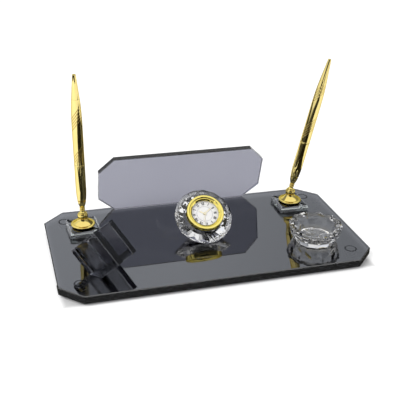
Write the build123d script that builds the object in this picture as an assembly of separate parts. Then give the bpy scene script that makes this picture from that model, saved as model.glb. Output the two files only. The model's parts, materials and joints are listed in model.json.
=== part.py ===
from build123d import *
import os
from math import cos, pi, radians, sin, sqrt, tan

# Desk set of smoked glass with a blank nameplate, two pens, a clock, a card holder and a dish.
# All lengths are millimetres. The origin is the middle of the footprint, on the table.
# +X runs to the right of a person facing the set, +Y towards the nameplate and +Z up.

# Base plate and its feet
base_length = 300.0
base_depth = 164.0
base_glass = 8.0
base_corner = 20.0
glass_arris = 0.8
foot_radius = 5.3
foot_height = 2.5
foot_inset_x = 20.0
foot_inset_y = 22.0
foot_rounding = 0.7

# Nameplate, leaning towards the front on a mitred lower edge
nameplate_width = 175.0
nameplate_height = 65.0
nameplate_glass = 6.0
nameplate_corner = 15.5
nameplate_lean = 15.0
nameplate_offset = -5.5
nameplate_back_margin = 0.4
nameplate_arris = 0.5

# Card holder: two square plates on a blunt corner, with two walls between them
holder_side_margin = 34.0
holder_front_margin = 30.0
holder_turn = 46.5
holder_side = 36.0
holder_flat = 13.3
holder_near_glass = 8.0
holder_far_glass = 6.0
holder_slot = 15.4
holder_wall = 5.0
holder_recess = 1.5
holder_arris = 0.4

# Pen stands: a glass plinth, a pad, a bell foot, a turning collar, a ball and a socket tube
plinth_side = 31.0
plinth_height = 6.0
plinth_bevel = 1.6
plinth_arris = 0.4
pad_radius = 10.4
pad_height = 0.8
bell_radius = 11.9
bell_edge = 1.5
bell_height = 7.3
bell_waist_radius = 6.9
bell_waist_height = 3.6
bell_rim_slope = 0.18
bell_neck_slope = 0.05
neck_radius = 4.6
neck_pin_radius = 2.0
neck_pin_height = 1.0
collar_foot_radius = 4.4
collar_radius = 4.8
collar_belly = -0.8
collar_top_radius = 4.0
collar_lip = 0.8
collar_floor = 1.2
ball_radius = 3.4
ball_clearance = 0.05
pivot_clearance = 0.05
pin_radius = 0.5
pin_depth = 1.1
tube_radius = 2.1
tube_wall = 0.5
tube_reach = 7.6
tube_seat = 0.9
bead_radius = 2.7
bead_height = 1.2
bead_low = 4.5
bead_high = 6.5
refill_well_radius = 1.2
refill_well_depth = 1.6

# Pens, measured along the axis from the mouth of the socket tube
pen_radius = 5.0
pen_wall = 0.6
pen_nose_length = 6.0
pen_nose_clearance = 0.08
pen_nose_mouth = 0.75
pen_nose_draft = 0.15
pen_shoulder_radius = 2.2
pen_shoulder_length = 8.0
pen_swell_length = 20.0
pen_swell_radius = 4.0
pen_swell_height = 6.0
pen_shoulder_slope = 0.55
pen_ring_start = 44.8
pen_ring_width = 1.6
pen_ring_proud = 0.15
pen_cone_start = 111.5
pen_length = 134.5
pen_cone_radius = 3.85
pen_top_radius = 1.6
pen_top_rounding = 0.5
pen_taper_length = 30.0
sleeve_radius = 3.2
sleeve_wall = 0.5
sleeve_length = 22.0
sleeve_seat_length = 7.3
sleeve_flange = 2.0
sleeve_end_gap = 1.0
sleeve_clearance = 0.06
refill_radius = 1.5
refill_length = 98.0
refill_tip_radius = 0.5
refill_tip_length = 8.4
refill_cone_length = 3.5
refill_set_back = 0.6
refill_travel = 2.5
refill_clearance = 0.3

# Clock: a cut crystal lying on one facet, with a round clock set in its face
clock_x = 0.0
clock_y = 4.8
crystal_sides = 16
crystal_radius = 28.7
crystal_band = 1.5
crystal_crown = 5.1
crystal_face_radius = 19.3
crystal_pavilion_angle = 39.0
crystal_back_radius = 7.0
case_radius = 16.4
case_wall = 1.3
case_depth = 9.5
case_bore_clearance = 0.6
case_bore_spare = 2.0
gasket_radius = 16.95
gasket_height = 2.2
bezel_radius = 18.3
bezel_height = 4.8
bezel_side = 3.0
bezel_shoulder = 0.55
bezel_crest_radius = 16.5
window_radius = 13.3
window_sill = 2.4
window_lip = 0.6
lens_radius = 14.2
lens_thickness = 1.0
dial_thickness = 0.4
hand_tube_radius = 1.25
arbor_clearance = 0.08
arbor_wall = 0.38
hour_hand_length = 6.8
hour_hand_width = 1.5
hour_boss_radius = 1.6
minute_hand_length = 10.2
minute_hand_width = 1.1
minute_boss_radius = 1.25
second_hand_length = 11.0
second_hand_width = 0.4
second_hand_tail = 3.0
second_boss_radius = 0.85
hand_thickness = 0.15
hand_root_share = 0.6
hand_shoulder_share = 0.62
hand_gap = 0.15
hour_hand_lift = 0.3
back_cover_thickness = 1.2
battery_radius = 3.4
battery_height = 2.6
battery_offset = 6.5
knob_radius = 2.6
knob_height = 1.0
knob_stem_radius = 0.9
knob_stem_length = 3.0
knob_offset = 6.5
knob_gap = 0.1
clock_hour = 10
clock_minute = 9
clock_second = 32

# Dish: a twelve-sided cut bowl with a round hollow
dish_side_margin = 46.5
dish_front_margin = 48.5
dish_sides = 12
dish_radius = 26.5
dish_foot_radius = 19.7
dish_height = 17.2
dish_waist_height = 8.0
dish_waist_radius = 24.6
dish_hollow_radius = 20.2
dish_floor_radius = 13.0
dish_floor = 5.0
dish_hollow_draft = 2.4
dish_rim_bevel = 1.2

# Pen stands: distances from the base's edges, turn of the plinth, lean of the pen and its heading
stand_left_margin = 36.2
stand_left_back_margin = 44.5
stand_right_margin = 42.5
stand_right_back_margin = 39.5

base_top = foot_height + base_glass
half_length = base_length / 2
half_depth = base_depth / 2
stands = {
    "left": {
        "x": stand_left_margin - half_length,
        "y": half_depth - stand_left_back_margin,
        "turn": 2.5,
        "lean": 3.0,
        "heading": -105.0,
    },
    "right": {
        "x": half_length - stand_right_margin,
        "y": half_depth - stand_right_back_margin,
        "turn": -1.3,
        "lean": 14.3,
        "heading": 12.0,
    },
}


def save(name, shape):
    export_step(shape, f"parts/{name}.step")


def turned(*edges):
    # Turns a closed outline of radius and height around Z.
    return revolve(Plane.XZ * make_face(edges), Axis.Z)


def turned_outline(points):
    return turned(Polyline(*points, close=True))


def ring(outer, inner, bottom, top):
    return turned_outline([(inner, bottom), (outer, bottom), (outer, top), (inner, top)])


def rod(radius, bottom, top):
    return Pos(0, 0, bottom) * Cylinder(radius, top - bottom, align=(Align.CENTER, Align.CENTER, Align.MIN))


def eight_sided(width, height, corner, below=0):
    # An oblong with its corners cut, centred on X, with its lower edge a little below Y = 0.
    half = width / 2
    return Polyline(
        (-half + corner + below, -below),
        (half - corner - below, -below),
        (half, corner),
        (half, height - corner),
        (half - corner, height),
        (-half + corner, height),
        (-half, height - corner),
        (-half, corner),
        close=True,
    )


def trimmed(solid, normal, reach):
    # Keeps the part of a solid that lies behind a plane at a distance from the origin.
    outward = Vector(*normal).normalized()
    return split(solid, bisect_by=Plane(origin=outward * reach, z_dir=outward), keep=Keep.BOTTOM)


def arrised(plate, size):
    # Breaks the long edges around both broad faces of a plate.
    edges = plate.edges().filter_by(GeomType.LINE)
    rims = edges.group_by(Axis.Z)[0] + edges.group_by(Axis.Z)[-1]
    return chamfer(rims, size)


def build_base():
    outline = make_face(eight_sided(base_length, base_depth, base_corner))
    plate = extrude(Pos(0, -half_depth) * outline, base_glass)
    save("base_plate", Pos(0, 0, foot_height) * arrised(plate, glass_arris))
    foot = rod(foot_radius, 0, foot_height)
    foot = fillet(foot.edges().group_by(Axis.Z)[0], foot_rounding)
    foot_x = half_length - foot_inset_x
    foot_y = half_depth - foot_inset_y
    for row, y in (("front", -foot_y), ("back", foot_y)):
        for side, x in (("left", -foot_x), ("right", foot_x)):
            save(f"foot_{row}_{side}", Pos(x, y, 0) * foot)


def build_nameplate():
    lean = radians(nameplate_lean)
    front_y = half_depth - nameplate_back_margin - nameplate_glass / cos(lean)
    stance = Plane(
        origin=(nameplate_offset, front_y, base_top),
        x_dir=(1, 0, 0),
        z_dir=(0, -cos(lean), -sin(lean)),
    )
    mitre = nameplate_glass * tan(lean)
    outline = eight_sided(nameplate_width, nameplate_height, nameplate_corner, mitre)
    plate = stance * arrised(extrude(make_face(outline), -nameplate_glass), nameplate_arris)
    save("nameplate", trimmed(plate, (0, 0, -1), -base_top))


def holder_plane():
    turn = radians(holder_turn)
    return Plane(
        origin=(holder_side_margin - half_length, holder_front_margin - half_depth, base_top),
        x_dir=(-sin(turn), cos(turn), 0),
        z_dir=(cos(turn), sin(turn), 0),
    )


def build_card_holder():
    half_diagonal = holder_side / sqrt(2)
    drop = holder_flat / 2
    square = make_face(
        Polyline(
            (-drop, 0),
            (drop, 0),
            (half_diagonal, half_diagonal - drop),
            (0, 2 * half_diagonal - drop),
            (-half_diagonal, half_diagonal - drop),
            close=True,
        )
    )
    near = extrude(square, holder_near_glass)
    far = extrude(square, holder_far_glass)
    seat = holder_plane()
    far_start = holder_near_glass + holder_slot
    save("holder_near_plate", seat * arrised(near, holder_arris))
    save("holder_far_plate", seat * Pos(0, 0, far_start) * arrised(far, holder_arris))
    # The walls follow the two lower sides of the square, set back from its edge.
    inner = holder_recess + holder_wall
    run = holder_side - holder_flat / sqrt(2) - holder_recess
    outer_end = (drop + (run - holder_recess) / sqrt(2), (run + holder_recess) / sqrt(2))
    inner_end = (drop + (run - inner) / sqrt(2), (run + inner) / sqrt(2))
    for side, name in ((1, "holder_front_wall"), (-1, "holder_side_wall")):
        outline = Polyline(
            (0, 0),
            (side * (drop - sqrt(2) * holder_recess), 0),
            (side * outer_end[0], outer_end[1]),
            (side * inner_end[0], inner_end[1]),
            (0, sqrt(2) * inner - drop),
            close=True,
        )
        wall = extrude(make_face(outline), holder_slot)
        save(name, seat * Pos(0, 0, holder_near_glass) * wall)


def build_stand_foot(side, place):
    plinth = extrude(Rectangle(plinth_side, plinth_side), plinth_height)
    plinth = chamfer(plinth.edges().group_by(Axis.Z)[-1], plinth_bevel)
    plinth = chamfer(plinth.edges().filter_by(Axis.Z), plinth_arris)
    ground = Pos(place["x"], place["y"], base_top)
    save(f"plinth_{side}", ground * Rot(0, 0, place["turn"]) * plinth)
    top = ground * Pos(0, 0, plinth_height)
    save(f"pad_{side}", top * rod(pad_radius, 0, pad_height))
    # The bell is a flat rim that sweeps up in a hollow curve to a slender neck.
    rim_start = (bell_radius - bell_edge / 2, 0)
    rim_middle = (bell_radius, bell_edge / 2)
    rim_end = (bell_radius - bell_edge / 2, bell_edge)
    neck_start = (neck_radius, bell_height)
    pin_top = bell_height + neck_pin_height
    waist = (bell_waist_radius, bell_waist_height)
    slopes = [(-1, bell_rim_slope), (-bell_neck_slope, 1)]
    bell = turned(
        Line((0, 0), rim_start),
        ThreePointArc(rim_start, rim_middle, rim_end),
        Spline(rim_end, waist, neck_start, tangents=slopes),
        Line(neck_start, (neck_pin_radius, bell_height)),
        Line((neck_pin_radius, bell_height), (neck_pin_radius, pin_top)),
        Line((neck_pin_radius, pin_top), (0, pin_top)),
        Line((0, pin_top), (0, 0)),
    )
    save(f"bell_{side}", top * Pos(0, 0, pad_height) * bell)


def ball_height():
    collar_bottom = plinth_height + pad_height + bell_height
    return base_top + collar_bottom + collar_floor + ball_radius


def heading_vector(place):
    heading = radians(place["heading"])
    return Vector(cos(heading), sin(heading), 0)


def turning_plane(place):
    # Upright, at the middle of the ball, with Y along the pin that the ball tilts on.
    origin = (place["x"], place["y"], ball_height())
    return Plane(origin=origin, x_dir=heading_vector(place), z_dir=(0, 0, 1))


def pen_plane(place):
    # At the middle of the ball, with Z up the pen and Y along the tilting pin.
    lean = radians(place["lean"])
    towards = heading_vector(place)
    up = Vector(0, 0, 1)
    origin = (place["x"], place["y"], ball_height())
    return Plane(
        origin=origin,
        x_dir=towards * cos(lean) - up * sin(lean),
        z_dir=towards * sin(lean) + up * cos(lean),
    )


def build_swivel(side, place):
    upright = turning_plane(place)
    leaning = pen_plane(place)
    bottom = -ball_radius - collar_floor
    cup = Sphere(ball_radius + ball_clearance)
    # The collar is a barrel, widest a little below the middle of the ball.
    collar = turned(
        Line((0, bottom), (collar_foot_radius, bottom)),
        ThreePointArc(
            (collar_foot_radius, bottom), (collar_radius, collar_belly), (collar_top_radius, collar_lip)
        ),
        Line((collar_top_radius, collar_lip), (0, collar_lip)),
        Line((0, collar_lip), (0, bottom)),
    )
    collar = collar - cup - rod(neck_pin_radius + pivot_clearance, bottom, 0)
    # The ball has a seat for the tube and a well for the pen's point.
    ball = Sphere(ball_radius)
    ball = ball - rod(tube_radius, tube_seat, ball_radius)
    ball = ball - rod(refill_well_radius, -refill_well_depth, tube_seat)
    # Two short pins in the collar reach into blind holes on opposite sides of the ball.
    pin_start = ball_radius - pin_depth
    pin_end = collar_foot_radius
    for name, turn in (("a", 90), ("b", -90)):
        axis = Rot(turn, 0, 0)
        pin = axis * rod(pin_radius, pin_start, pin_end)
        save(f"ball_pin_{name}_{side}", upright * pin)
        collar = collar - axis * rod(pin_radius, pin_start, collar_radius)
        ball = ball - axis * rod(pin_radius + pivot_clearance, pin_start - pivot_clearance, ball_radius)
    save(f"collar_{side}", upright * collar)
    save(f"ball_{side}", leaning * ball)
    tube = ring(tube_radius, tube_radius - tube_wall, tube_seat, tube_reach)
    for height in (bead_low, bead_high):
        low = height - bead_height / 2
        high = height + bead_height / 2
        bead = turned(
            Line((tube_radius, high), (tube_radius, low)),
            ThreePointArc((tube_radius, low), (bead_radius, height), (tube_radius, high)),
        )
        tube = tube + bead
    save(f"socket_tube_{side}", leaning * tube)


def pen_lower_outline():
    # The lower barrel swells from the shoulder to its full radius, on a curve.
    return Spline(
        (pen_shoulder_radius, 0),
        (pen_swell_radius, pen_swell_height),
        (pen_radius, pen_swell_length),
        tangents=[(pen_shoulder_slope, 1), (0, 1)],
    )


def pen_upper_outline():
    # The upper barrel narrows towards the top cone on a long curve that meets its slope.
    cone_slope = (pen_top_radius - pen_cone_radius) / (pen_length - pen_cone_start)
    taper_start = pen_cone_start - pen_taper_length
    return Spline(
        (pen_radius, taper_start),
        (pen_cone_radius, pen_cone_start),
        tangents=[(0, 1), (cone_slope, 1)],
    )


def build_pen(side, place):
    mouth = pen_plane(place) * Pos(0, 0, tube_reach)
    nose_radius = tube_radius - tube_wall - pen_nose_clearance
    ring_top = pen_ring_start + pen_ring_width
    bore = pen_radius - pen_wall
    sleeve_bore = sleeve_radius - sleeve_wall
    # The nose is the shoulder of the pen with the spigot that drops into the tube.
    lower = turned(
        Line((0, 0), (pen_shoulder_radius, 0)),
        pen_lower_outline(),
        Line((pen_radius, pen_swell_length), (0, pen_swell_length)),
        Line((0, pen_swell_length), (0, 0)),
    )
    nose = lower - rod(pen_radius * 2, pen_shoulder_length, pen_length)
    nose = nose + rod(nose_radius, -pen_nose_length, 0)
    # The bore widens in the shoulder, clear of the refill's cone when the point is out.
    refill_bore = refill_radius + refill_clearance
    tip_start = refill_set_back - pen_nose_length
    cone_start = tip_start + refill_tip_length
    cone_end = cone_start + refill_cone_length
    nose_bore = turned_outline(
        [
            (0, -pen_nose_length),
            (pen_nose_mouth, -pen_nose_length),
            (pen_nose_mouth + pen_nose_draft, 0),
            (refill_bore, cone_end - refill_travel),
            (refill_bore, pen_shoulder_length),
            (0, pen_shoulder_length),
        ]
    )
    save(f"pen_nose_{side}", mouth * (nose - nose_bore))
    grip = lower - rod(pen_radius * 2, -pen_nose_length, pen_shoulder_length)
    grip = grip + rod(pen_radius, pen_swell_length, pen_ring_start)
    grip = grip - rod(refill_bore, 0, pen_ring_start)
    grip = grip - rod(bore, pen_swell_length, pen_ring_start)
    save(f"pen_grip_{side}", mouth * grip)
    band = ring(pen_radius + pen_ring_proud, sleeve_radius, pen_ring_start, ring_top)
    save(f"pen_ring_{side}", mouth * band)
    sleeve_start = pen_ring_start - sleeve_seat_length
    sleeve_end = sleeve_start + sleeve_length
    sleeve = ring(sleeve_radius, sleeve_bore, sleeve_start, sleeve_end)
    flange = ring(bore, sleeve_bore, sleeve_start, sleeve_start + sleeve_flange)
    save(f"pen_sleeve_{side}", mouth * (sleeve + flange))
    # The upper barrel turns on the sleeve and is hollow above it.
    barrel = turned(
        Line((0, ring_top), (pen_radius, ring_top)),
        Line((pen_radius, ring_top), (pen_radius, pen_cone_start - pen_taper_length)),
        pen_upper_outline(),
        Line((pen_cone_radius, pen_cone_start), (0, pen_cone_start)),
        Line((0, pen_cone_start), (0, ring_top)),
    )
    step_height = sleeve_end + sleeve_end_gap
    barrel = barrel - rod(sleeve_radius + sleeve_clearance, ring_top, step_height)
    hollow = turned_outline(
        [
            (0, step_height),
            (bore, step_height),
            (bore, pen_cone_start - pen_taper_length),
            (pen_cone_radius - pen_wall, pen_cone_start),
            (0, pen_cone_start),
        ]
    )
    barrel = barrel - hollow
    save(f"pen_barrel_{side}", mouth * barrel)
    cone = turned(
        Line((0, pen_cone_start), (pen_cone_radius, pen_cone_start)),
        Line((pen_cone_radius, pen_cone_start), (pen_top_radius, pen_length - pen_top_rounding)),
        RadiusArc(
            (pen_top_radius, pen_length - pen_top_rounding),
            (pen_top_radius - pen_top_rounding, pen_length),
            -pen_top_rounding,
        ),
        Line((pen_top_radius - pen_top_rounding, pen_length), (0, pen_length)),
        Line((0, pen_length), (0, pen_cone_start)),
    )
    save(f"pen_cone_{side}", mouth * cone)
    refill = turned_outline(
        [
            (0, tip_start),
            (refill_tip_radius, tip_start),
            (refill_tip_radius, cone_start),
            (refill_radius, cone_end),
            (refill_radius, tip_start + refill_length),
            (0, tip_start + refill_length),
        ]
    )
    save(f"refill_{side}", mouth * refill)


def cut_slope(low_radius, low, high_radius, high):
    # The radius at height 0 of a cone through two circles, and the parts of its normal.
    rise = high - low
    spread = high_radius - low_radius
    length = sqrt(rise**2 + spread**2)
    return low_radius - low * spread / rise, rise / length, spread / length


def build_dish():
    # Two rows of flat cuts, the upper row turned by half a side from the lower one.
    apothem = cos(pi / dish_sides)
    body = rod(dish_radius * 2, 0, dish_height)
    lower = cut_slope(dish_foot_radius, 0, dish_waist_radius, dish_waist_height)
    upper = cut_slope(dish_waist_radius, dish_waist_height, dish_radius, dish_height)
    for row, slope in enumerate((lower, upper)):
        radius, across, down = slope
        for step in range(dish_sides):
            angle = 2 * pi * (step + row / 2) / dish_sides
            normal = (across * cos(angle), across * sin(angle), -down)
            body = trimmed(body, normal, radius * apothem * across)
    hollow_depth = dish_height - dish_floor
    hollow = turned(
        Line((0, dish_floor), (dish_floor_radius, dish_floor)),
        ThreePointArc(
            (dish_floor_radius, dish_floor),
            (dish_hollow_radius - dish_hollow_draft, dish_floor + hollow_depth / 3),
            (dish_hollow_radius, dish_height),
        ),
        Line((dish_hollow_radius, dish_height), (0, dish_height)),
        Line((0, dish_height), (0, dish_floor)),
    )
    bevel = turned_outline(
        [
            (0, dish_height),
            (0, dish_height - dish_rim_bevel),
            (dish_hollow_radius, dish_height - dish_rim_bevel),
            (dish_hollow_radius + 2 * dish_rim_bevel, dish_height),
        ]
    )
    dish_x = half_length - dish_side_margin
    dish_y = dish_front_margin - half_depth
    save("dish", Pos(dish_x, dish_y, base_top) * (body - hollow - bevel))


def clock_plane():
    # Z points out of the dial and Y up it. The crystal lies on its lowest facet.
    pavilion = radians(crystal_pavilion_angle)
    apothem = crystal_radius * cos(pi / crystal_sides)
    origin = (clock_x, clock_y, base_top + apothem * sin(pavilion))
    return Plane(origin=origin, x_dir=(1, 0, 0), z_dir=(0, -sin(pavilion), cos(pavilion)))


def build_crystal():
    apothem = crystal_radius * cos(pi / crystal_sides)
    face_apothem = crystal_face_radius * cos(pi / crystal_sides)
    face_height = crystal_band + crystal_crown
    slope = crystal_crown / (apothem - face_apothem)
    pavilion = tan(radians(crystal_pavilion_angle))
    depth = (apothem - crystal_back_radius) * pavilion
    gem = rod(crystal_radius * 2, -depth, face_height)
    crown_reach = apothem * slope + crystal_band
    pavilion_reach = apothem * pavilion
    for step in range(crystal_sides):
        angle = 2 * pi * step / crystal_sides
        east = cos(angle)
        north = sin(angle)
        gem = trimmed(gem, (east, north, 0), apothem)
        gem = trimmed(gem, (east * slope, north * slope, 1), crown_reach / sqrt(1 + slope**2))
        gem = trimmed(
            gem,
            (east * pavilion, north * pavilion, -1),
            pavilion_reach / sqrt(1 + pavilion**2),
        )
    bore_radius = case_radius + case_bore_clearance
    bore_bottom = face_height - case_depth - case_bore_spare
    save("clock_crystal", clock_plane() * (gem - rod(bore_radius, bore_bottom, face_height)))


def clock_face():
    # The plane of the crystal's flat face, which the bezel sits on.
    return clock_plane() * Pos(0, 0, crystal_band + crystal_crown)


def build_clock_case():
    face = clock_face()
    ledge = lens_radius - case_wall / 2
    inside = case_radius - case_wall
    back = -case_depth
    case = ring(case_radius, inside, back, 0)
    case = case + ring(inside, ledge, -2 * dial_thickness, -dial_thickness)
    save("clock_case", face * case)
    groove = case_depth / 2
    gasket = ring(gasket_radius, case_radius, -groove - gasket_height / 2, -groove + gasket_height / 2)
    save("clock_gasket", face * gasket)
    lens_bottom = window_sill - lens_thickness
    bezel = turned(
        Line((lens_radius, 0), (bezel_radius, 0)),
        Line((bezel_radius, 0), (bezel_radius, bezel_side)),
        ThreePointArc(
            (bezel_radius, bezel_side),
            (bezel_radius - bezel_shoulder, bezel_height - bezel_shoulder),
            (bezel_crest_radius, bezel_height),
        ),
        Line((bezel_crest_radius, bezel_height), (window_radius, window_sill + window_lip)),
        Line((window_radius, window_sill + window_lip), (window_radius, window_sill)),
        Line((window_radius, window_sill), (lens_radius, window_sill)),
        Line((lens_radius, window_sill), (lens_radius, 0)),
    )
    save("clock_bezel", face * bezel)
    save("clock_lens", face * rod(lens_radius, lens_bottom, window_sill))
    dial_hole = hand_tube_radius + arbor_clearance
    save("clock_dial", face * ring(inside, dial_hole, -dial_thickness, 0))
    cover_top = back + back_cover_thickness
    shaft_hole = rod(knob_stem_radius + arbor_clearance, back, cover_top + knob_stem_length)
    cover = rod(inside, back, cover_top) - Pos(-knob_offset, 0, 0) * shaft_hole
    save("clock_back_cover", face * cover)
    movement = rod(ledge, cover_top, -2 * dial_thickness)
    movement = movement + ring(ledge, dial_hole, -2 * dial_thickness, -dial_thickness)
    movement = movement - Pos(-knob_offset, 0, 0) * shaft_hole
    pocket = rod(battery_radius, cover_top, cover_top + battery_height)
    save("clock_movement", face * (movement - Pos(battery_offset, 0, 0) * pocket))
    save("clock_battery", face * Pos(battery_offset, 0, 0) * pocket)
    knob_top = back - knob_gap
    knob = rod(knob_radius, knob_top - knob_height, knob_top)
    stem = rod(knob_stem_radius, knob_top, cover_top + knob_stem_length - knob_gap)
    save("setting_knob", face * Pos(-knob_offset, 0, 0) * (knob + stem))


def hand_blade(length, tail, width, bottom):
    # A slim lance shape that points up the dial.
    root = hand_root_share * width / 2
    shoulder = hand_shoulder_share * length
    outline = Polyline(
        (-root, -tail),
        (root, -tail),
        (width / 2, shoulder),
        (0, length),
        (-width / 2, shoulder),
        close=True,
    )
    return Pos(0, 0, bottom) * extrude(make_face(outline), hand_thickness)


def build_hands():
    face = clock_face()
    arbor_foot = -2 * dial_thickness
    hour_bottom = hour_hand_lift
    minute_bottom = hour_bottom + hand_thickness + hand_gap
    second_bottom = minute_bottom + hand_thickness + hand_gap
    hour_bore = hand_tube_radius - arbor_wall
    minute_tube = hour_bore - arbor_clearance
    minute_bore = minute_tube - arbor_wall
    second_turn = clock_second * 360 / 60
    minute_turn = clock_minute * 360 / 60
    hour_turn = (clock_hour + clock_minute / 60) * 360 / 12
    hour = hand_blade(hour_hand_length, 0, hour_hand_width, hour_bottom)
    hour = hour + rod(hour_boss_radius, hour_bottom, hour_bottom + hand_thickness)
    hour = Rot(0, 0, -hour_turn) * hour + rod(hand_tube_radius, arbor_foot, hour_bottom)
    hour = hour - rod(hour_bore, arbor_foot, hour_bottom + hand_thickness)
    save("hour_hand", face * hour)
    minute = hand_blade(minute_hand_length, 0, minute_hand_width, minute_bottom)
    minute = minute + rod(minute_boss_radius, minute_bottom, minute_bottom + hand_thickness)
    minute = Rot(0, 0, -minute_turn) * minute + rod(minute_tube, arbor_foot, minute_bottom)
    minute = minute - rod(minute_bore, arbor_foot, minute_bottom + hand_thickness)
    save("minute_hand", face * minute)
    second = hand_blade(second_hand_length, second_hand_tail, second_hand_width, second_bottom)
    second = second + rod(second_boss_radius, second_bottom, second_bottom + hand_thickness)
    second_arbor = minute_bore - arbor_clearance
    second = Rot(0, 0, -second_turn) * second + rod(second_arbor, arbor_foot, second_bottom)
    save("second_hand", face * second)


os.makedirs("parts", exist_ok=True)
build_base()
build_nameplate()
build_card_holder()
for stand_side, stand_place in stands.items():
    build_stand_foot(stand_side, stand_place)
    build_swivel(stand_side, stand_place)
    build_pen(stand_side, stand_place)
build_crystal()
build_clock_case()
build_hands()
build_dish()
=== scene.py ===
import json
import math

import bpy
import numpy as np
from mathutils import Matrix, Vector


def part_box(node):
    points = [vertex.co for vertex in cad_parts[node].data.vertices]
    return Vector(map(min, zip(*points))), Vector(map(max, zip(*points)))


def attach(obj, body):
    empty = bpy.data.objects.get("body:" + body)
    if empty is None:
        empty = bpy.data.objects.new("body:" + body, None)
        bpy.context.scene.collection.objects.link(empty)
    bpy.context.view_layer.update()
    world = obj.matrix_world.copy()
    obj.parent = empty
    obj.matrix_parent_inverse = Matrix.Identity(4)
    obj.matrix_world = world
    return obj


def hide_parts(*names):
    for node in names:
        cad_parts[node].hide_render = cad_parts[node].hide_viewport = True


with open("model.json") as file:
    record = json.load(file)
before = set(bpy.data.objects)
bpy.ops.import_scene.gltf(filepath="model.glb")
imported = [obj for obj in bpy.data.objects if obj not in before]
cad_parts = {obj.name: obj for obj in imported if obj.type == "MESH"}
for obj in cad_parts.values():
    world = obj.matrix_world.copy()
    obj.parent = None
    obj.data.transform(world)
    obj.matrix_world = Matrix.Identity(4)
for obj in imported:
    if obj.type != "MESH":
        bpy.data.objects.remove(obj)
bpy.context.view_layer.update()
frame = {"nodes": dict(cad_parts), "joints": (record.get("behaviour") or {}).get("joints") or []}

scene = bpy.context.scene
jointNamed = {j["name"]: j for j in frame["joints"]}
mm = 0.001
print("frame loaded:", len(frame["nodes"]), "nodes")


# Small tools

def linearColour(hexText):
    # sRGB hex to the linear values a shader wants
    parts = [int(hexText[i:i + 2], 16) / 255 for i in (1, 3, 5)]
    return [c / 12.92 if c <= 0.04045 else ((c + 0.055) / 1.055) ** 2.4 for c in parts] + [1.0]


def nodeAdder(tree):
    # Empties a tree and gives the function that adds a node to it. An input that is given an output is
    # linked to it, one that is given a node to the node's first output in use, and any other is set,
    # a colour from its hex text.
    tree.nodes.clear()

    def add(kind, inputs=None, **fields):
        node = tree.nodes.new("ShaderNode" + kind)
        for key, value in fields.items():
            setattr(node, key, value)
        for key, value in (inputs or {}).items():
            if isinstance(value, bpy.types.Node):
                value = next(output for output in value.outputs if output.enabled)
            if isinstance(value, bpy.types.NodeSocket):
                tree.links.new(value, node.inputs[key])
            else:
                isHex = isinstance(value, str)
                node.inputs[key].default_value = linearColour(value) if isHex else value
        return node

    return add


def newMaterial(name):
    material = bpy.data.materials.new(name)
    material.use_nodes = True
    return material, nodeAdder(material.node_tree)


def newObject(name, data):
    made = bpy.data.objects.new(name, data)
    scene.collection.objects.link(made)
    return made


def dress(piece, *materials):
    piece.data.materials.clear()
    for material in materials:
        piece.data.materials.append(material)


def planeAt(origin, up, right):
    # a 3 by 3 turn and a shift: local X is right, local Z is up
    z = np.array(up, float) / np.linalg.norm(up)
    x = np.array(right, float) - np.dot(right, z) * z
    x = x / np.linalg.norm(x)
    return np.stack([x, np.cross(z, x), z], axis=1), np.array(origin, float)


def makePiece(name, points, faces, place, body, replaces, crease=None, uv=None, ground=None):
    # points are millimetres in the local frame of place; ground is how matt each face is, from 0 to 1
    turn, shift = place
    world = points @ turn.T * mm + shift
    mesh = bpy.data.meshes.new(name)
    mesh.from_pydata(world.tolist(), [], faces)
    if uv is not None:
        layer = mesh.uv_layers.new(name="along")
        layer.data.foreach_set("uv", np.concatenate(uv).astype(np.float32).ravel())
    if ground is not None:
        layer = mesh.attributes.new("ground", "FLOAT", "FACE")
        layer.data.foreach_set("value", np.array(ground, np.float32))
    if crease is not None:
        mesh.shade_smooth()
        mesh.set_sharp_from_angle(angle=math.radians(crease))
    mesh.validate()
    piece = newObject(name, mesh)
    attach(piece, body)
    if replaces:
        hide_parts(*replaces)
    return piece


def softCorners(outline, radius, steps=4, closed=False):
    # each corner gives way to an arc: a quadratic curve from one side to the other
    outline = np.array(outline, float)
    count = len(outline)
    radius = np.broadcast_to(radius, count)
    blend = np.linspace(0, 1, steps + 1)[:, None]
    done = []
    for i in range(count):
        here = outline[i]
        if radius[i] <= 0 or (not closed and i in (0, count - 1)):
            done.append(here[None])
            continue
        before = outline[i - 1] - here
        after = outline[(i + 1) % count] - here
        a = here + before * min(0.45, radius[i] / np.linalg.norm(before))
        b = here + after * min(0.45, radius[i] / np.linalg.norm(after))
        done.append(a * (1 - blend) ** 2 + 2 * here * blend * (1 - blend) + b * blend ** 2)
    return np.concatenate(done)


def arcAt(radius, angle):
    # points of a plane, by how far they are from its origin and in which direction
    return np.column_stack([radius * np.cos(angle), radius * np.sin(angle)])


def arcThrough(a, b, c, steps):
    # the circle through three points, walked from a to c past b
    a, b, c = (np.array(v, float) for v in (a, b, c))
    rows = np.array([b - a, c - a])
    centre = np.linalg.solve(rows, (np.sum(rows * (rows + 2 * a), axis=1)) / 2)
    start, mid, end = (math.atan2(*(v - centre)[::-1]) for v in (a, b, c))
    sweep = (end - start) % (2 * math.pi)
    if (mid - start) % (2 * math.pi) > sweep:
        sweep -= 2 * math.pi
    angle = start + sweep * np.linspace(0, 1, steps)
    radius = np.linalg.norm(a - centre)
    return centre + arcAt(radius, angle)


def bandFaces(index):
    # four-sided faces between each row of point numbers and the next, each row closed on itself
    low, high = index[:-1], index[1:]
    quads = np.stack([low, np.roll(low, -1, 1), np.roll(high, -1, 1), high], axis=2)
    return quads.reshape(-1, 4).tolist()


def stackOutlines(levels):
    # flat outlines of the same count, each at its own height
    return np.concatenate([np.column_stack([outline, np.full(len(outline), z)]) for outline, z in levels])


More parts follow.
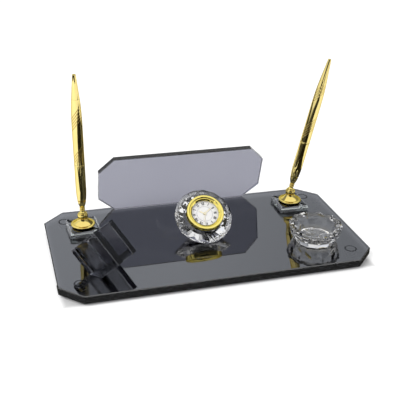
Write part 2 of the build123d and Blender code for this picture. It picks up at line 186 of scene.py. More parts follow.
def stackedSolid(levels, hazes):
    # A stack of outlines closed by two flat faces. A haze is how matt the band between two outlines
    # is, and the two faces are clear.
    points = stackOutlines(levels)
    index = np.arange(len(points)).reshape(len(levels), -1)
    faces = bandFaces(index) + [index[0][::-1].tolist(), index[-1].tolist()]
    return points, faces, np.repeat(hazes, index.shape[1]).tolist() + [0.0, 0.0]


def turnedSurface(profile, segments=96, closed=False):
    # point (u, v) is (r(v) cos u, r(v) sin u, z(v)); a profile end on the axis is one pole point
    profile = np.array(profile, float)
    poleLow = not closed and profile[0, 0] == 0
    poleHigh = not closed and profile[-1, 0] == 0
    rings = profile[int(poleLow):len(profile) - int(poleHigh)]
    u = np.arange(segments) * 2 * np.pi / segments
    points = stackOutlines([(arcAt(radius, u), height) for radius, height in rings])
    index = np.arange(len(points)).reshape(-1, segments)
    if closed:
        rings, index = np.vstack([rings, rings[:1]]), np.vstack([index, index[:1]])
    faces = bandFaces(index)
    # uv is the share of a turn and the height in millimetres
    start, low = np.meshgrid(np.arange(segments) / segments, rings[:-1, 1])
    end, high = start + 1 / segments, np.broadcast_to(rings[1:, 1:], low.shape)
    uv = [np.stack([start, low, end, low, end, high, start, high], 2).reshape(-1, 2)]
    for row, wanted in ((0, poleLow), (-1, poleHigh)):
        if not wanted:
            continue
        first, second = index[row], np.roll(index[row], -1)
        firstShare, secondShare = start[0], end[0]
        if row == 0:
            first, second, firstShare, secondShare = second, first, secondShare, firstShare
        faces += np.stack([first, second, np.full(segments, len(points))], axis=1).tolist()
        points = np.vstack([points, [0, 0, profile[row, 1]]])
        edge, tip = np.full(segments, rings[row, 1]), np.full(segments, profile[row, 1])
        corners = [firstShare, edge, secondShare, edge, start[0] + 0.5 / segments, tip]
        uv.append(np.stack(corners, 1).reshape(-1, 2))
    return points, faces, uv


def turnedPiece(name, profile, place, body, replaces, segments=96, closed=False, crease=32):
    points, faces, uv = turnedSurface(profile, segments, closed)
    return makePiece(name, points, faces, place, body, replaces, crease, uv)


# how much of a glass arris still looks ground, and how much of its polished edge
plateHaze = (0.12, 0.0)
baseHaze = (0.045, 0.04)


def insetOutline(outline, inset):
    # every side of a convex outline moves in by the same distance
    outline = np.array(outline, float)
    along = np.roll(outline, -1, 0) - outline
    along = along / np.linalg.norm(along, axis=1)[:, None]
    inward = np.stack([-along[:, 1], along[:, 0]], axis=1)
    before = np.roll(inward, 1, 0)
    share = 1 + np.sum(before * inward, axis=1)
    return outline + inset * (before + inward) / share[:, None]


def plateSurface(outline, bottom, top, arris, haze=plateHaze):
    # a convex outline carried from bottom to top, drawn in by the arris at both faces
    inner = insetOutline(outline, arris)
    levels = [(inner, bottom), (outline, bottom + arris), (outline, top - arris), (inner, top)]
    return stackedSolid(levels, [haze[0], haze[1], haze[0]])


def eightSided(width, height, corner, below=0.0):
    half = width / 2
    return [
        (-half + corner + below, -below), (half - corner - below, -below), (half, corner),
        (half, height - corner), (half - corner, height), (-half + corner, height),
        (-half, height - corner), (-half, corner),
    ]


# Materials

noiseSpan = {"From Min": 0.3, "From Max": 0.7}  # most of a noise lies between these


def glassMaterial(
    name, absorbTint, density, ior, lampTint, haze=0.003, polish=0.0, groundFrom=None, paintedRings=None,
):
    # Float glass with smoke in its melt, or clear glass: a face is clear and mirrors, and an edge is
    # near black, because the way through it is long. Lamps pass it by a tinted shadow, so what stands
    # behind it isn't pitch dark. The haze that polishing leaves is a noise of about 20 mm that only
    # moves the roughness. The polish is a clear coat, which makes a face mirror more at a low angle.
    material, add = newMaterial(name)
    spot = add("TexCoord").outputs["Object"]
    smear = add("TexNoise", {"Scale": 45.0, "Detail": 3.0, "Vector": spot})
    rough = add("MapRange", {"From Min": 0.35, "From Max": 0.75, "To Max": haze, "Value": smear})
    body = add(
        "BsdfPrincipled",
        {
            "Base Color": (1, 1, 1, 1), "IOR": ior, "Transmission Weight": 1.0, "Coat Weight": polish,
            "Coat Roughness": 0.0, "Coat IOR": 1.6, "Roughness": rough,
        },
    )
    surface = body
    if groundFrom:
        # the arris is ground with a wheel of about 0.15 mm grit and left matt, so it shows as a pale line
        grit = add("TexNoise", {"Scale": 6000.0, "Detail": 1.0, "Vector": spot})
        matt = add("Mix", {"Factor": grit, "A": "#A4A6AE", "B": "#C6C8CE"}, data_type="RGBA")
        arris = add("BsdfPrincipled", {"Roughness": 0.5, "Base Color": matt})
        if groundFrom == "attribute":
            share = add("Attribute", attribute_name="ground").outputs["Fac"]
        else:
            # on the base, a face between level and upright is the arris, and an upright one the edge
            facing = add("NewGeometry").outputs["True Normal"]
            steep = add("SeparateXYZ", {"Vector": facing}).outputs["Z"]
            level = add("Math", {0: steep}, operation="ABSOLUTE")
            share = add("ValToRGB", {"Fac": level})
            ramp = share.color_ramp
            ramp.interpolation = "CONSTANT"
            ramp.elements[0].color = [baseHaze[1]] * 3 + [1]
            ramp.elements[1].position = 0.9
            ramp.elements[1].color = (0, 0, 0, 1)
            ramp.elements.new(0.3).color = [baseHaze[0]] * 3 + [1]
        surface = add("MixShader", {0: share, 1: body, 2: arris})
    if paintedRings:
        # Painted shade: a thin dark ring is painted on the glass over each bumper's rim, where the rim
        # looks
        # dark through it: how far a point is from the nearest bumper's centre, less the rim's radius.
        place = add("VectorMath", {0: spot}, operation="ABSOLUTE")
        offset = add("VectorMath", {0: place, 1: paintedRings["centre"]}, operation="SUBTRACT")
        flat = add("VectorMath", {0: offset, 1: (1, 1, 0)}, operation="MULTIPLY")
        reach = add("VectorMath", {0: flat}, operation="LENGTH")
        beyond = add("Math", {0: reach, 1: paintedRings["radius"]}, operation="SUBTRACT")
        apart = add("Math", {0: beyond}, operation="ABSOLUTE")
        mask = add(
            "MapRange",
            {"From Max": paintedRings["width"], "To Min": paintedRings["strength"], "To Max": 0.0, "Value": apart},
            interpolation_type="SMOOTHSTEP",
        )
        shade = add("BsdfDiffuse", {"Color": "#1C1D20"})
        surface = add("MixShader", {0: mask, 1: surface, 2: shade})
    rays = add("LightPath").outputs
    lamps = add("BsdfTransparent", {"Color": lampTint})
    mixed = add("MixShader", {0: rays["Is Shadow Ray"], 1: surface, 2: lamps})
    ends = {"Surface": mixed}
    if density:
        ends["Volume"] = add("VolumeAbsorption", {"Color": absorbTint, "Density": density})
    add("OutputMaterial", ends)
    return material


def goldMaterial(name, low, high, engraved=None):
    # Polished gold-coloured plating on brass: a mirror with a little lapping haze in patches of about
    # 3 mm, duller towards its outline, which the edge tint gives.
    material, add = newMaterial(name)
    spot = add("TexCoord").outputs["Object"]
    haze = add("TexNoise", {"Scale": 320.0, "Detail": 2.0, "Vector": spot})
    rough = add("MapRange", {**noiseSpan, "To Min": 0.012, "To Max": 0.035, "Value": haze})
    tint = add("Mix", {"Factor": haze, "A": low, "B": high}, data_type="RGBA")
    looks = {"Metallic": 1.0, "Specular Tint": "#B7A869", "Base Color": tint, "Roughness": rough}
    if engraved:
        # Cut lines climb round the barrel side by side: the phase of a line is height less climb.
        place = add("UVMap", uv_map="along")
        split = add("SeparateXYZ", {"Vector": place}).outputs
        climb = split["X"]
        for operation, number in (("SUBTRACT", engraved["phase"]), ("MULTIPLY", engraved["pitch"])):
            climb = add("Math", {0: climb, 1: number}, operation=operation)
        within = add("Math", {0: split["Y"], 1: climb}, operation="SUBTRACT")
        for operation, number in (("SUBTRACT", engraved["start"]), ("FLOORED_MODULO", engraved["pitch"])):
            within = add("Math", {0: within, 1: number}, operation=operation)
        bandHeight = engraved["lines"] * engraved["spacing"]
        inBand = add("Math", {0: within, 1: bandHeight}, operation="LESS_THAN")
        cell = add("Math", {0: within, 1: engraved["spacing"]}, operation="FLOORED_MODULO")
        line = add(
            "MapRange",
            {
                "From Min": engraved["width"] * 0.85, "From Max": engraved["width"], "To Min": 1.0,
                "To Max": 0.0, "Value": cell,
            },
            interpolation_type="SMOOTHSTEP",
        )
        above = add("Math", {0: split["Y"], 1: engraved["low"]}, operation="GREATER_THAN")
        below = add("Math", {0: split["Y"], 1: engraved["high"]}, operation="LESS_THAN")
        cut = line
        for limit in (inBand, above, below):
            cut = add("Math", {0: cut, 1: limit}, operation="MULTIPLY")
        looks["Roughness"] = add("Mix", {"Factor": cut, "A": rough, "B": 0.35}, data_type="FLOAT")
        looks["Base Color"] = add("Mix", {"Factor": cut, "A": tint, "B": "#BFA25C"}, data_type="RGBA")
        looks["Normal"] = add("Bump", {"Strength": 0.3, "Distance": 0.0001, "Height": cut}, invert=True)
    add("OutputMaterial", {"Surface": add("BsdfPrincipled", looks)})
    return material


def plainMaterial(name, low, high, roughLow, roughHigh, grain, metallic=0.0, ior=1.5, bump=0.0, extra=None):
    # A noise of one grain size, in metres, moves the colour, the gloss and the height together.
    material, add = newMaterial(name)
    spot = add("TexCoord").outputs["Object"]
    noise = add("TexNoise", {"Scale": 1 / grain, "Detail": 4.0, "Vector": spot})
    tint = add("Mix", {"Factor": noise, "A": low, "B": high}, data_type="RGBA")
    rough = add("MapRange", {**noiseSpan, "To Min": roughLow, "To Max": roughHigh, "Value": noise})
    looks = {"Metallic": metallic, "IOR": ior, "Base Color": tint, "Roughness": rough, **(extra or {})}
    if bump:
        looks["Normal"] = add("Bump", {"Strength": 0.3, "Distance": bump, "Height": noise})
    add("OutputMaterial", {"Surface": add("BsdfPrincipled", looks)})
    return material


footLow, footHigh = (np.array(v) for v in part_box("foot_back_right"))
# painted shade: where the dark rings over the bumpers' rims are painted on the base glass
paintedBumperRings = {
    "centre": tuple((footLow + footHigh) / 2), "radius": (footHigh[0] - footLow[0]) / 2, "width": 0.0013,
    "strength": 0.85,
}
smokedBase = glassMaterial(
    "smokedFloatGlassThick", "#4A4A62", 260.0, 1.62, "#4A4A50", polish=1.0, groundFrom="slope",
    paintedRings=paintedBumperRings,
)
smokedPlate = glassMaterial("smokedFloatGlass", "#565A84", 188.0, 1.52, "#8A8A90", groundFrom="attribute")
smokedHolder = glassMaterial(
    "smokedFloatGlassHolder", "#5A5C70", 108.0, 1.52, "#8A8A90", groundFrom="attribute",
)
clearCrystal = glassMaterial("pressedLeadCrystal", "#F2F6F8", 0.0, 1.56, "#F2F4F6", 0.0)
clearPlinth = glassMaterial(
    "clearFloatGlass", "#7FA894", 14.0, 1.52, "#E4EAE6", 0.0, groundFrom="attribute",
)
clearPane = glassMaterial("mineralWatchGlass", "#F2F6F8", 0.0, 1.45, "#FAFAFA", 0.0)
# Five cut lines side by side climb the upper barrel, in millimetres of height. A cut is about 0.3 mm
# wide on such a pen and is drawn 1 mm wide, so that it shows.
engraving = {
    "pitch": 39.0, "spacing": 3.0, "lines": 5, "width": 1.0, "start": 48.0, "low": 49.0, "high": 108.0,
    "phase": {"left": 0.0, "right": 0.45},
}
polishedGold = goldMaterial("polishedGoldPlating", "#F4DA7A", "#F9E48C")
bezelGold = goldMaterial("brightGoldPlating", "#FAE676", "#FFF094")
penGold = goldMaterial("palePolishedGoldPlating", "#EBD686", "#F0DE96")
engravedGold = {
    side: goldMaterial("engravedGoldPlating_" + side, "#EBD686", "#F0DE96", dict(engraving, phase=phase))
    for side, phase in engraving["phase"].items()
}
paleGold = goldMaterial("champagneGoldPlating", "#F2E8C4", "#F8F0D4")
# enamel: smooth and even, with a thin varnish; prints: flat ink; steel: fine turning marks; acetal and
# rubber: a dull, slightly pitted skin from the mould; the bumpers: soft polyurethane, half clear, dark grey
# as painted shade
dialEnamel = plainMaterial(
    "whiteDialEnamel", "#F7F6F4", "#FCFBFA", 0.25, 0.35, 0.0009, extra={"Coat Weight": 0.3},
)
inkBlack = plainMaterial("blackDialPrint", "#1B1B1E", "#26262A", 0.4, 0.55, 0.0004)
inkGrey = plainMaterial("greyDialPrint", "#857F88", "#928C95", 0.4, 0.55, 0.0004)
springSteel = plainMaterial("groundSteel", "#A9AAAE", "#B8B9BD", 0.18, 0.32, 0.0005, metallic=1.0)
blackPlastic = plainMaterial("mouldedBlackAcetal", "#101012", "#17171A", 0.42, 0.6, 0.0006, bump=0.00003)
blackRubber = plainMaterial("blackSheetRubber", "#0D0D0E", "#161617", 0.6, 0.8, 0.0005, bump=0.00004)
# painted shade: the bumpers are drawn dark grey for the shade they stand in under the plate
shadedBumperPlastic = plainMaterial(
    "shadeDarkPolyurethaneBumper", "#3A3C40", "#4C4E53", 0.12, 0.22, 0.0008, ior=1.49,
    extra={"Transmission Weight": 0.2},
)
print("materials ready")


# Nodes that keep their solids: the base, its feet and what is hidden or plain

plainNodes = (
    (smokedBase, ("base_plate",)), (shadedBumperPlastic, ("foot_",)), (dialEnamel, ("clock_dial",)),
    (springSteel, ("refill", "ball_pin", "clock_battery", "clock_back_cover", "clock_case")),
    (blackPlastic, ("clock_movement", "setting_knob")), (blackRubber, ("clock_gasket", "pad_")),
    (polishedGold, ("pen_sleeve",)), (paleGold, ("minute_hand", "hour_hand", "second_hand")),
)
for node, piece in frame["nodes"].items():
    for material, starts in plainNodes:
        if node.startswith(starts):
            dress(piece, material)

seam = 0.03  # the film of air or glue under each glass piece, in millimetres
baseTop = 10.5
upright = np.eye(3)  # the turn of a piece that stands square to the base

nameplate = {
    "width": 175.0, "height": 65.0, "glass": 6.0, "corner": 15.5, "lean": 15.0,
    "offset": -5.5, "backMargin": 0.4, "baseDepth": 164.0, "arris": 0.5,
}


def buildNameplate(p):
    lean = math.radians(p["lean"])
    frontY = p["baseDepth"] / 2 - p["backMargin"] - p["glass"] / math.cos(lean)
    outline = eightSided(p["width"], p["height"], p["corner"], p["glass"] * math.tan(lean))
    points, faces, ground = plateSurface(outline, -p["glass"], 0.0, p["arris"])
    turn, shift = planeAt(
        (p["offset"] * mm, frontY * mm, baseTop * mm), (0, -math.cos(lean), -math.sin(lean)), (1, 0, 0),
    )
    # the mitred lower edge: points below the base's face slide up the plate to it
    height = (points @ turn.T)[:, 2]
    points[:, 1] += np.maximum(0, seam - height) / turn[2, 1]
    return makePiece(
        "nameplateGlass", points, faces, (turn, shift), "desk_set", ["nameplate"],
        ground=ground,
    )


dress(buildNameplate(nameplate), smokedPlate)

cardHolder = {
    "x": -116.0, "y": -52.0, "turn": 46.5, "side": 36.0, "flat": 13.3, "near": 8.0, "far": 6.0,
    "slot": 15.4, "wall": 5.0, "recess": 1.5, "arris": 0.4, "wallArris": 0.1, "haze": (0.18, 0.0),
}


def buildCardHolder(p):
    turn = math.radians(p["turn"])
    # local X runs along the slot, local Y up and local Z across the two plates
    out = np.array([math.cos(turn), math.sin(turn), 0])
    along = np.array([-math.sin(turn), math.cos(turn), 0])
    place = (np.stack([along, [0, 0, 1], out], axis=1), np.array([p["x"], p["y"], baseTop + seam]) * mm)
    root = math.sqrt(2)
    half = p["side"] / root
    drop = p["flat"] / 2
    square = [(-drop, 0), (drop, 0), (half, half - drop), (0, 2 * half - drop), (-half, half - drop)]
    farStart = p["near"] + p["slot"]
    inner = p["recess"] + p["wall"]
    run = p["side"] - p["flat"] / root - p["recess"]
    outerEnd = (drop + (run - p["recess"]) / root, (run + p["recess"]) / root)
    innerEnd = (drop + (run - inner) / root, (run + inner) / root)
    wall = np.array([
        (seam, 0), (drop - root * p["recess"], 0), outerEnd, innerEnd, (seam, root * inner - drop),
    ])
    between = (p["near"] + seam, farStart - seam, p["wallArris"])
    shapes = (
        ("Glass", "near", "plate", square, 0, p["near"], p["arris"]),
        ("Glass", "far", "plate", square, farStart, farStart + p["far"], p["arris"]),
        ("Wall", "front", "wall", wall, *between),
        ("Wall", "side", "wall", (wall * [-1, 1])[::-1], *between),
    )
    plates = []
    for kind, name, part, outline, low, high, arris in shapes:
        points, faces, ground = plateSurface(outline, low, high, arris, p["haze"])
        plates.append(makePiece(
            f"holder{kind}_{name}", points, faces, place, "desk_set",
            [f"holder_{name}_{part}"], ground=ground,
        ))
    return plates


for piece in buildCardHolder(cardHolder):
    dress(piece, smokedHolder)
print("plates ready")

# Pen stands and pens

stand = {
    # the plinth's sides and bevel are polished by machine, which leaves a trace of haze; its lines are matt
    "plinthSide": 31.0, "plinthHeight": 6.0, "plinthBevel": 1.6, "plinthArris": 0.4, "plinthLine": 0.3,
    "plinthDrop": 0.1, "plinthHaze": [0.7, 0.22, 0.3, 0.7], "turns": {"left": 2.5, "right": -1.3},
    "pad": 0.8, "bellRadius": 11.9, "bellEdge": 1.5, "bellHeight": 7.3, "neck": 4.6,
    "bellSweep": [(8.4, 3.0), (5.7, 4.3)],
    "rimRise": 0.1, "rimGap": 0.2, "rimWidth": 1.5, "rimStep": 0.25, "rimSlant": 0.05,
    "collarFoot": 4.4, "collar": 4.8, "collarBelly": -0.8, "collarTop": 4.0, "collarLip": 0.8,
    "collarFloor": 1.2, "collarFlat": 2.0, "lipRound": 0.08, "lipFlare": 0.15, "lipDrop": 0.3,
    "ball": 3.4, "ballGap": 0.05, "tube": 2.1, "tubeWall": 0.5, "tubeReach": 7.6, "tubeFloor": -1.0,
    "mouthBevel": 0.1, "bead": 2.7, "beadHeight": 1.2, "beadLow": 4.5, "beadHigh": 6.5,
}


def buildStand(p, side):
    centre = np.array(jointNamed["turn_" + side]["pos_m"])
    made = {}
    ballRadius, tube, reach = p["ball"], p["tube"], p["tubeReach"]
    # square glass plinth with a wide bevel round its top
    angle = math.radians(p["turns"][side])
    place = planeAt(
        (centre[0], centre[1], (baseTop + seam) * mm), (0, 0, 1), (math.cos(angle), math.sin(angle), 0),
    )
    across = p["plinthSide"]
    outline = np.array(eightSided(across, across, p["plinthArris"])) - [0, across / 2]
    inner = insetOutline(outline, p["plinthBevel"])
    edge = insetOutline(outline, p["plinthLine"])
    top = p["plinthHeight"] - seam
    points, faces, ground = stackedSolid([
        (edge, 0), (outline, p["plinthLine"]), (outline, top - p["plinthBevel"]),
        (inner, top - p["plinthDrop"]), (insetOutline(inner, p["plinthLine"]), top),
    ], p["plinthHaze"])
    made["plinth"] = makePiece(
        "plinthGlass_" + side, points, faces, place, "desk_set", ["plinth_" + side],
        ground=ground,
    )
    # the bell: a rolled rim, then a hollow sweep up to the neck
    place = (upright, np.array([centre[0], centre[1], (baseTop + p["plinthHeight"] + p["pad"]) * mm]))
    roll = p["bellEdge"] / 2
    rim = arcAt(roll, np.linspace(-np.pi / 2, np.pi / 2, 13)) + [p["bellRadius"] - roll, roll]
    t = np.linspace(0, 1, 25)[1:]
    # a cubic from the rim's top to the neck: nearly flat at first and nearly upright at last
    stepR, stepZ = rim[-1] + [-p["rimWidth"], p["rimRise"]]
    control = np.array([
        (stepR - p["rimGap"], stepZ + p["rimStep"]), *p["bellSweep"], (p["neck"], p["bellHeight"]),
    ])
    weights = np.stack([(1 - t) ** 3, 3 * t * (1 - t) ** 2, 3 * t ** 2 * (1 - t), t ** 3], 1)
    flat = [(stepR, stepZ), (stepR - p["rimSlant"], stepZ + p["rimStep"]), control[0]]
    profile = np.vstack([[0, 0], rim, flat, weights @ control, [0, p["bellHeight"]]])
    made["bell"] = turnedPiece(
        "bellGold_" + side, profile, place, "desk_set", ["bell_" + side],
    )
    # the turning collar that holds the ball
    place = (upright, centre)
    bottom = -ballRadius - p["collarFloor"] + seam
    cup = ballRadius + p["ballGap"]
    angles = np.linspace(-np.pi / 2, math.asin(p["collarLip"] / cup), 17)
    inside = cup * math.cos(angles[-1])
    # the outside is an arc from the foot past the belly to the lip, and the lip is rounded over
    outside = arcThrough(
        (p["collarFoot"], bottom), (p["collar"], p["collarBelly"]),
        (p["collarTop"] + p["lipFlare"], p["collarLip"] - p["lipDrop"]), 15,
    )
    lipEdge = p["collarLip"] - p["lipRound"]
    lip = [(p["collarTop"], lipEdge), ((p["collarTop"] + inside) / 2, p["collarLip"]), (inside, lipEdge)]
    profile = np.vstack([
        [(0, bottom), (p["collarFlat"], bottom)], outside, lip,
        arcAt(cup, angles)[::-1][1:-1], [0, -cup],
    ])
    made["collar"] = turnedPiece(
        "collarGold_" + side, profile, place, "collar_" + side, ["collar_" + side],
    )
    # ball and socket tube are one turned shape, with two beads on the tube
    axis = jointNamed["lift_" + side]["axis"]
    leaning = planeAt(centre, axis, np.cross(jointNamed["tilt_" + side]["axis"], axis))
    angles = np.linspace(-np.pi / 2, math.acos(tube / ballRadius), 25)
    ball = arcAt(ballRadius, angles)
    ball[0, 0] = 0
    bead = arcAt(1, np.linspace(-np.pi / 2, np.pi / 2, 11)) * [p["bead"] - tube, p["beadHeight"] / 2]
    inside = tube - p["tubeWall"]
    profile = np.vstack([
        ball, bead + [tube, p["beadLow"]], bead + [tube, p["beadHigh"]],
        [
            (tube, reach - p["mouthBevel"]), (tube - p["mouthBevel"], reach), (inside, reach),
            (inside, p["tubeFloor"]), (0, p["tubeFloor"]),
        ],
    ])
    made["socket"] = turnedPiece(
        "socketGold_" + side, profile, leaning, "socket_" + side,
        ["ball_" + side, "socket_tube_" + side],
    )
    return made, leaning


pen = {
    "radius": 5.0, "wall": 0.6, "noseLength": 6.0, "noseRadius": 1.52, "noseRound": 0.2,
    "shoulder": 2.2, "shoulderLength": 8.0, "shoulderSlope": 0.55,
    "swellLength": 20.0, "swellRadius": 4.0, "swellHeight": 6.0, "swellSlope": 0.13,
    "ringStart": 44.8, "ringWidth": 1.6, "ringProud": 0.15, "ringBore": 3.2,
    "ringRounds": [0, 0.35, 0.35, 0],
    "coneStart": 111.5, "length": 134.5, "coneRadius": 3.85, "topRadius": 1.6, "taper": 30.0,
    "coneRounds": [0, 0.12, 0.7, 0], "bore": 1.8, "tipBore": 0.75, "tipRadius": 1.0, "throat": 0.9,
    "throatEnd": 4.0, "bevel": 0.12, "sleeve": 3.26, "sleeveTop": 60.0,
}


def hermite(start, end, slopeStart, slopeEnd, steps):
    # radius as a smooth cubic of height, with the slope given at both ends
    t = np.linspace(0, 1, steps)
    span = end[1] - start[1]
    r = (2 * t ** 3 - 3 * t ** 2 + 1) * start[0] + (t ** 3 - 2 * t ** 2 + t) * slopeStart * span
    r += (3 * t ** 2 - 2 * t ** 3) * end[0] + (t ** 3 - t ** 2) * slopeEnd * span
    return np.column_stack([r, start[1] + t * span])


def buildPen(p, side, leaning):
    turn, centre = leaning
    place = (turn, centre + turn[:, 2] * stand["tubeReach"] * mm)
    radius, bore, bevel, ringLow = p["radius"], p["bore"], p["bevel"], p["ringStart"]
    coneLow, coneRadius, top = p["coneStart"], p["coneRadius"], p["length"]
    bend = (p["swellRadius"], p["swellHeight"])
    swell = np.vstack([
        hermite((p["shoulder"], 0.0), bend, p["shoulderSlope"], p["swellSlope"], 10),
        hermite(bend, (radius, p["swellLength"]), p["swellSlope"], 0.0, 14)[1:],
    ])
    split = swell[:, 1] <= p["shoulderLength"]
    nose = np.vstack([
        [(p["tipBore"], -p["noseLength"])],
        softCorners([
            (p["tipRadius"], -p["noseLength"]), (p["noseRadius"], -p["noseLength"]), (p["noseRadius"], 0),
            (p["shoulder"], 0),
        ], p["noseRound"])[1:-1],
        swell[split], [(bore, swell[split][-1, 1]), (bore, p["throatEnd"]), (p["throat"], 0.0)],
    ])
    inner = radius - p["wall"]
    grip = np.vstack([
        swell[~split],
        [
            (radius, ringLow - bevel), (radius - bevel, ringLow), (inner, ringLow),
            (inner, p["swellLength"]), (bore, p["swellLength"]), (bore, swell[~split][0, 1]),
        ],
    ])
    ringTop = ringLow + p["ringWidth"]
    proud = radius + p["ringProud"]
    ring = softCorners([
        (p["ringBore"], ringLow), (proud, ringLow), (proud, ringTop), (p["ringBore"], ringTop),
    ], p["ringRounds"], closed=True)
    coneSlope = (p["topRadius"] - coneRadius) / (top - coneLow)
    taper = hermite((radius, coneLow - p["taper"]), (coneRadius, coneLow), 0.0, coneSlope, 24)
    barrel = np.vstack([
        [(radius - bevel, ringTop), (radius, ringTop + bevel)], taper[:-1],
        [
            (coneRadius + bevel / 10, coneLow - bevel), (coneRadius - bevel, coneLow),
            (coneRadius - p["wall"], coneLow), (inner, coneLow - p["taper"]), (inner, p["sleeveTop"]),
            (p["sleeve"], p["sleeveTop"]), (p["sleeve"], ringTop),
        ],
    ])
    cone = softCorners([
        (0, coneLow), (coneRadius, coneLow), (p["topRadius"], top), (0, top),
    ], p["coneRounds"], steps=6)
    shapes = {
        "nose": (nose, "pen_", True), "grip": (grip, "pen_", True), "ring": (ring, "pen_", True),
        "barrel": (barrel, "pen_top_", True), "cone": (cone, "pen_top_", False),
    }
    return {
        part: turnedPiece(
            f"pen{part.capitalize()}_{side}", profile, place, body + side,
            [f"pen_{part}_{side}"], closed=closed,
        )
        for part, (profile, body, closed) in shapes.items()
    }


for side in ("left", "right"):
    standPieces, leaning = buildStand(stand, side)
    penPieces = buildPen(pen, side, leaning)
    for piece in standPieces.values():
        dress(piece, polishedGold)
    for piece in penPieces.values():
        dress(piece, penGold)
    dress(standPieces["plinth"], clearPlinth)
    dress(penPieces["barrel"], engravedGold[side])
print("stands and pens ready")

# Clock

clock = {
    "x": 0.0, "y": 4.8, "sides": 16, "radius": 28.7, "band": 1.5, "girdleCorner": 1.0, "crown": 5.1,
    "face": 19.3, "pavilion": 39.0, "back": 7.0, "bore": 17.0, "boreDepth": 11.5, "boreSteps": 6,
    "bezel": 18.3, "bezelHeight": 4.8, "crest": 16.1, "groove": 15.3, "grooveDepth": 1.0,
    "grooveWidth": 0.4, "innerRing": 0.35, "window": 13.3, "sill": 2.4, "lip": 0.6,
    "bezelRounds": [0, 0.2, 0.9, 0.7, 0.15, 0.15, 0.3, 0.15, 0, 0],
    "lens": 14.2, "lensThickness": 1.0, "lensGap": 0.02, "lensRound": 0.1,
}


def buildCrystal(p):
    # Sixteen flat cuts above and below a narrow girdle, and sixteen steeper kites across the
    # lower corners; the bore is round. A kite's plane goes through the girdle's raised corner and
    # the middles of its two sides, and meets the ridge of two cuts where both are as far out.
    pavilion = math.radians(p["pavilion"])
    sides, radius, perSide = p["sides"], p["radius"], p["boreSteps"]
    half = math.pi / sides
    apothem = radius * math.cos(half)
    depth = (apothem - p["back"]) * math.tan(pavilion)
    faceHeight = p["band"] + p["crown"]
    fine = sides * perSide
    kiteFoot = apothem * math.cos(half)
    kiteSlope = (radius - kiteFoot) / p["girdleCorner"]
    ridgeSlope = 1 / (math.tan(pavilion) * math.cos(half))
    kiteDepth = (radius - kiteFoot) / (ridgeSlope - kiteSlope)
    corners, middles = ((np.arange(sides) + share) * 2 * np.pi / sides for share in (0.5, 1))
    allRound = (np.arange(fine) / perSide + 0.5) * 2 * np.pi / sides
    rings = [
        (p["back"] / math.cos(half), corners, -depth), (radius, corners, p["girdleCorner"]),
        (radius, corners, p["band"]), (p["face"], corners, faceHeight),
        (radius - ridgeSlope * kiteDepth, corners, -kiteDepth), (apothem, middles, 0),
        (p["bore"], allRound, faceHeight), (p["bore"], allRound, faceHeight - p["boreDepth"]),
    ]
    points = stackOutlines([(arcAt(far, angles), z) for far, angles, z in rings])
    index = np.arange(6 * sides).reshape(6, sides)
    back, corner, girdle, face, ridge, middle = index
    nextBack, nextCorner, nextGirdle, nextFace, nextRidge, nextMiddle = np.roll(index, -1, 1)
    cuts = (
        (back, nextBack, nextRidge, middle, ridge), (nextRidge, nextMiddle, nextCorner, middle),
        (corner, middle, nextCorner, nextGirdle, girdle), (girdle, nextGirdle, nextFace, face),
    )
    faces = [back[::-1].tolist()]
    for cut in cuts:
        faces += np.stack(cut, axis=1).tolist()
    high = index.size + np.arange(fine)
    low = high + fine
    for i in range(sides):
        around = high[(i * perSide + np.arange(perSide + 1)) % fine]
        faces.append([int(face[i]), int(nextFace[i])] + around[::-1].tolist())
    faces += bandFaces(np.stack([high, low]))
    faces.append(low.tolist())
    origin = (p["x"] * mm, p["y"] * mm, (baseTop + apothem * math.sin(pavilion)) * mm)
    turn, shift = planeAt(origin, (0, -math.sin(pavilion), math.cos(pavilion)), (1, 0, 0))
    return makePiece(
        "clockCrystal", points, faces, (turn, shift + [0, 0, seam * mm]), "desk_set",
        ["clock_crystal"],
    )


def buildBezel(p, place):
    # two polished rings: an upright side with a rounded shoulder, a groove, and a slope down to the
    # sharp sight edge
    groove = p["bezelHeight"] - p["grooveDepth"]
    outline = softCorners([
        (p["lens"], p["lensGap"]), (p["bezel"], p["lensGap"]), (p["bezel"], p["bezelHeight"]),
        (p["crest"], p["bezelHeight"]), (p["groove"], groove), (p["groove"] - p["grooveWidth"], groove),
        (p["groove"] - 2 * p["grooveWidth"], groove + p["innerRing"]), (p["window"], p["sill"] + p["lip"]),
        (p["window"], p["sill"]), (p["lens"], p["sill"]),
    ], p["bezelRounds"], steps=8, closed=True)
    return turnedPiece(
        "clockBezel", outline, place, "clock_insert", ["clock_bezel"], segments=128,
        closed=True,
    )


def buildLens(p, place):
    low, high = p["sill"] - p["lensThickness"], p["sill"] - p["lensGap"]
    edge = p["lens"] - p["lensGap"]
    outline = softCorners([(0, low), (edge, low), (edge, high), (0, high)], p["lensRound"])
    return turnedPiece(
        "clockLens", outline, place, "clock_insert", ["clock_lens"], segments=128,
    )


dialPrint = {
    "radius": 10.6, "height": 3.0, "stroke": 0.56, "thin": 0.3, "gap": 0.684, "letter": 0.95,
    "lift": (0.009, 0.03), "ring": 7.6, "ringWidth": 0.3,
    "numerals": ["XII", "I", "II", "III", "IIII", "V", "VI", "VII", "VIII", "IX", "X", "XI"],
}


def strokeQuad(x0, y0, x1, y1, width):
    # a straight stroke from one point to another as four corners
    along = np.array([x1 - x0, y1 - y0])
    side = np.array([-along[1], along[0]]) / np.linalg.norm(along) * width / 2
    a, b = np.array([x0, y0]), np.array([x1, y1])
    return np.array([a - side, b - side, b + side, a + side])


# each stroke of a letter: from and to, as shares of the letter's width and height, and how wide it is
letterStrokes = {
    "I": [(0, 0, 0, 1, "stroke")],
    "V": [(0.5, 0, 0, 1, "stroke"), (0.5, 0, 1, 1, "thin")],
    "X": [(1, 0, 0, 1, "stroke"), (0, 0, 1, 1, "thin")],
}


